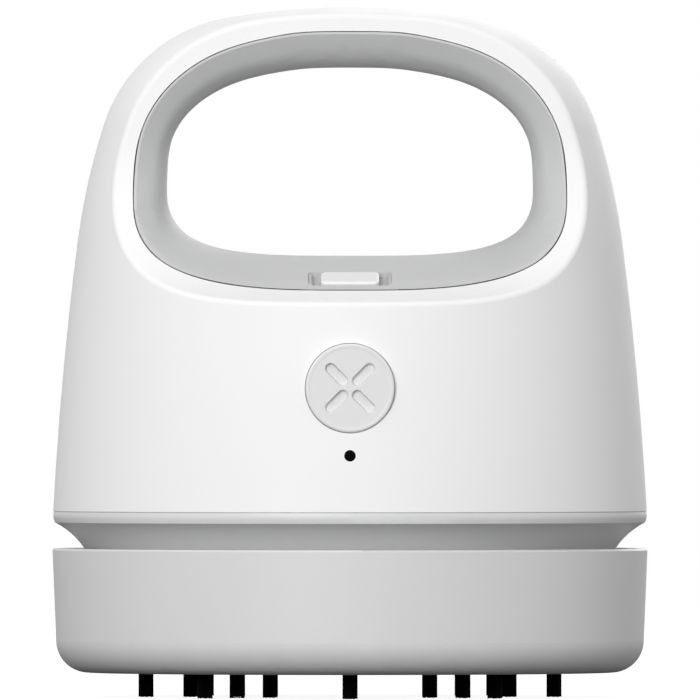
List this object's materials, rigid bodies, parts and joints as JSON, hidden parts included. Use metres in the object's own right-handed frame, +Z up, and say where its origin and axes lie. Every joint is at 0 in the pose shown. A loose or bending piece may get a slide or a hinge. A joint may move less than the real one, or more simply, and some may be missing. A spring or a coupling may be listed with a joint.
{
  "type": "desktop mini vacuum cleaner",
  "caption": "Small round desktop vacuum with a looped carrying handle, front push button, slide switch and a body that lifts off its dust cup on bristle tufts.",
  "frame": {"origin": "on the table under the middle of the body, at the tips of the bristles", "axes": "+Z up, the power button faces -Y, +X to the right of someone who looks at the button"},
  "size_m": [0.086, 0.086, 0.0997],
  "materials": {
    "shell_plastic": "fine satin",
    "liner_plastic": "satin",
    "collar_plastic": "satin",
    "cup_plastic": "satin",
    "plate_plastic": "satin",
    "button_plastic": "satin",
    "knob_plastic": "satin",
    "bristle_nylon": "dull fibre",
    "lens_plastic": "polished, dark tint",
    "seal_rubber": "matte",
    "filter_plastic": "matte",
    "filter_paper": "pleated non-woven",
    "fan_plastic": "moulded, matte",
    "shaft_steel": "ground",
    "screw_steel": "zinc plated",
    "can_steel": "drawn, plated",
    "magnet_ferrite": "sintered",
    "core_steel": "laminated",
    "cap_plastic": "moulded nylon",
    "terminal_brass": "tinned",
    "pad_foam": "soft",
    "cell_wrap": "shrink sleeve",
    "cradle_plastic": "moulded",
    "lead_plastic": "insulation",
    "board_laminate": "solder mask",
    "component_plastic": "moulded",
    "switch_plastic": "moulded",
    "socket_steel": "drawn"
  },
  "bodies": {
    "cup": {"dust_cup": "cup_plastic", "brush_plate": "plate_plastic", "bristle_tufts": "bristle_nylon", "plate_screws": "screw_steel"},
    "main_body": {"front_shell": "shell_plastic", "rear_shell": "shell_plastic", "shell_screws": "screw_steel", "handle_liner": "liner_plastic", "waist_collar": "collar_plastic", "seal_ring": "seal_rubber", "inlet_plate": "collar_plastic", "filter_frame": "filter_plastic", "filter_media": "filter_paper", "motor_can": "can_steel", "motor_magnets": "magnet_ferrite", "motor_cap": "cap_plastic", "motor_terminals": "terminal_brass", "motor_pad": "pad_foam", "motor_screws": "screw_steel", "motor_leads": "lead_plastic", "battery_cell": "cell_wrap", "battery_cradle": "cradle_plastic", "cradle_screws": "screw_steel", "battery_leads": "lead_plastic", "charge_leads": "lead_plastic", "slide_leads": "lead_plastic", "main_board": "board_laminate", "board_parts": "component_plastic", "board_screws": "screw_steel", "tact_switch": "switch_plastic", "indicator_lens": "lens_plastic", "charge_socket": "socket_steel", "charge_board": "board_laminate", "charge_screws": "screw_steel", "slide_tray": "knob_plastic", "slide_switch": "switch_plastic", "slide_board": "board_laminate", "slide_screws": "screw_steel"},
    "button": {"power_button": "button_plastic", "switch_stem": "switch_plastic"},
    "knob": {"slide_knob": "knob_plastic"},
    "fan_rotor": {"impeller": "fan_plastic", "motor_shaft": "shaft_steel", "armature": "core_steel"}
  },
  "joints": [
    {"name": "body_lift", "type": "slide", "parent": "cup", "child": "main_body", "axis": [0, 0, 1], "range_m": [0, 0.03]},
    {"name": "button_press", "type": "slide", "parent": "main_body", "child": "button", "axis": [0, 1, 0], "range_m": [0, 0.0008], "stiffness_N_per_m": 800},
    {"name": "speed_slide", "type": "slide", "parent": "main_body", "child": "knob", "axis": [1, 0, 0], "range_m": [-0.0009, 0.0009]},
    {"name": "fan_spin", "type": "hinge", "parent": "main_body", "child": "fan_rotor", "pos_m": [0, 0, 0.03], "axis": [0, 0, 1], "continuous": true}
  ]
}
